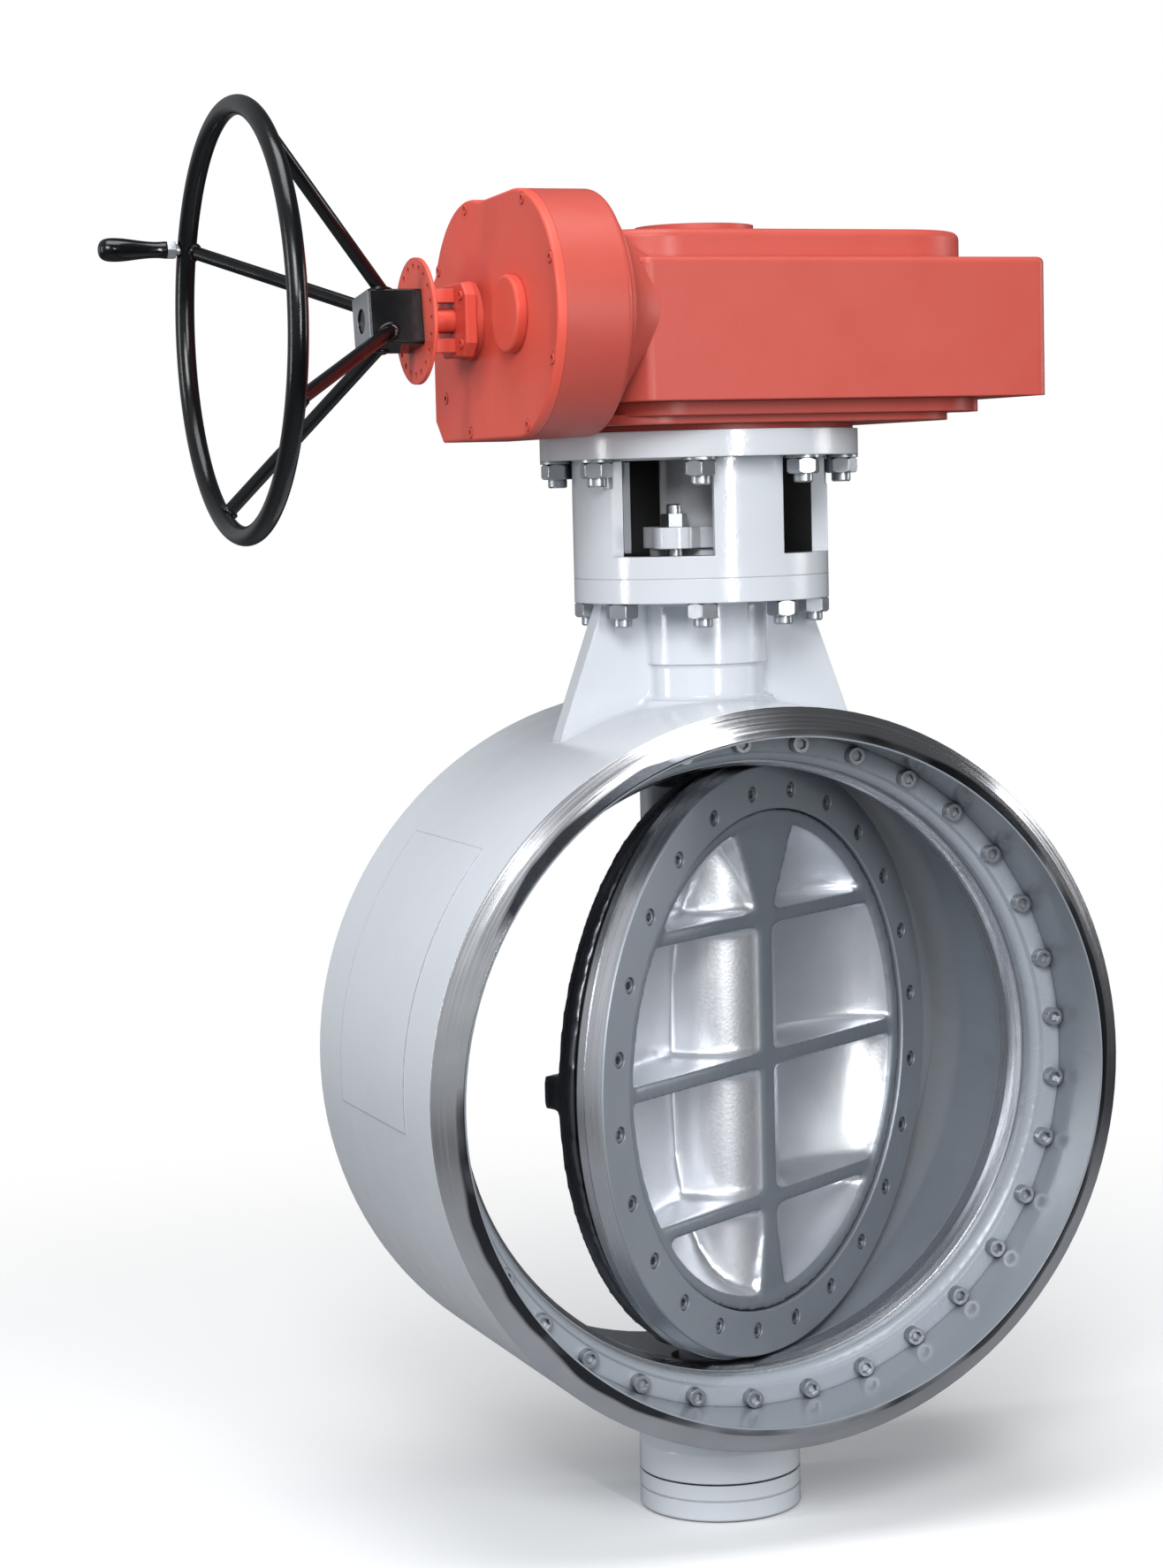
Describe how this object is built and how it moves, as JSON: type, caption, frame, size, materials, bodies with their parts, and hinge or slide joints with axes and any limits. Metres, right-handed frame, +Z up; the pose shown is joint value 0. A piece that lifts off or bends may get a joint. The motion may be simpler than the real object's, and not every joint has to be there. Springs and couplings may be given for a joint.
{
  "type": "butterfly valve",
  "caption": "Butt-weld butterfly valve with a ribbed offset disc, windowed yoke and a worm gearbox with a spur reduction and a spoked handwheel.",
  "frame": {"origin": "the stem axis crosses the pipe axis there, inside the valve", "axes": "+Z up the stem to the gearbox, +Y along the pipe from inlet to outlet, handwheel towards -X"},
  "size_m": [0.975, 0.478, 1.4829],
  "materials": {
    "grey_paint": "light grey gloss enamel over cast steel",
    "red_paint": "red satin enamel over cast iron",
    "black_paint": "gloss black enamel",
    "disc_casting": "silver-grey coated casting",
    "dark_ring": "dark satin turned steel",
    "bright_steel": "machined stainless steel",
    "zinc_fasteners": "bright zinc-plated steel",
    "graphite": "pressed graphite",
    "bronze": "turned bronze",
    "gear_steel": "oiled gear steel",
    "window": "clear window"
  },
  "bodies": {
    "root": {"valve_body": "grey_paint", "nameplate": "grey_paint", "body_seat_ring": "bright_steel", "body_retaining_ring": "grey_paint", "retaining_ring_screws": "zinc_fasteners", "upper_stem_bush": "bronze", "lower_stem_bush": "bronze", "stem_packing": "graphite", "gland_bush": "bronze", "gland_flange": "grey_paint", "gland_studs": "zinc_fasteners", "gland_nuts": "zinc_fasteners", "thrust_washer": "bright_steel", "bottom_cover_gasket": "graphite", "bottom_cover": "grey_paint", "bottom_cover_screws": "zinc_fasteners", "yoke": "grey_paint", "yoke_studs": "zinc_fasteners", "yoke_nuts": "zinc_fasteners", "gearbox_studs": "zinc_fasteners", "gearbox_washers": "zinc_fasteners", "gearbox_nuts": "zinc_fasteners", "gearbox_base": "red_paint", "gearbox_housing": "red_paint", "gearbox_cover": "red_paint", "gearbox_cover_screws": "red_paint", "wheel_lower_bush": "bronze", "wheel_upper_bush": "bronze", "indicator_window": "window", "spur_case": "red_paint", "spur_case_cover": "red_paint", "spur_case_screws": "red_paint", "input_bearing_cap": "red_paint", "input_cap_screws": "red_paint", "worm_end_cap": "red_paint", "lock_posts": "red_paint", "worm_bearings": "bronze", "input_bearings": "bronze"},
    "disc_and_stem": {"valve_disc": "disc_casting", "disc_seal_ring": "bright_steel", "disc_seal_gasket": "graphite", "disc_retaining_ring": "dark_ring", "disc_ring_screws": "zinc_fasteners", "disc_taper_pins": "bright_steel", "valve_stem": "bright_steel", "stem_key": "gear_steel", "worm_wheel": "gear_steel", "position_pointer": "gear_steel"},
    "worm": {"worm_shaft": "gear_steel", "spur_gear": "gear_steel"},
    "handwheel": {"input_shaft": "red_paint", "input_pinion": "gear_steel", "index_plate": "red_paint", "handwheel_hub": "black_paint", "handwheel_rim": "black_paint", "handwheel_spokes": "black_paint", "grip_spindle": "bright_steel"},
    "grip": {"handwheel_grip": "black_paint"}
  },
  "joints": [
    {"name": "disc_turn", "type": "hinge", "parent": "root", "child": "disc_and_stem", "pos_m": [0, 0, 0], "axis": [0, 0, 1], "range_deg": [-33.2, 56.8]},
    {"name": "worm_turn", "type": "hinge", "parent": "root", "child": "worm", "pos_m": [0, -0.155, 0.776], "axis": [1, 0, 0], "range_deg": [-2280, 1340]},
    {"name": "handwheel_turn", "type": "hinge", "parent": "root", "child": "handwheel", "pos_m": [0, -0.025, 0.776], "axis": [1, 0, 0], "range_deg": [-4080, 6970]},
    {"name": "grip_spin", "type": "hinge", "parent": "handwheel", "child": "grip", "pos_m": [-0.525, 0.1682, 0.86081], "axis": [1, 0, 0], "continuous": true}
  ],
  "couplings": [
    {"joint": "worm_turn", "follows": "disc_turn", "ratio": -40},
    {"joint": "handwheel_turn", "follows": "disc_turn", "ratio": 122.5}
  ]
}
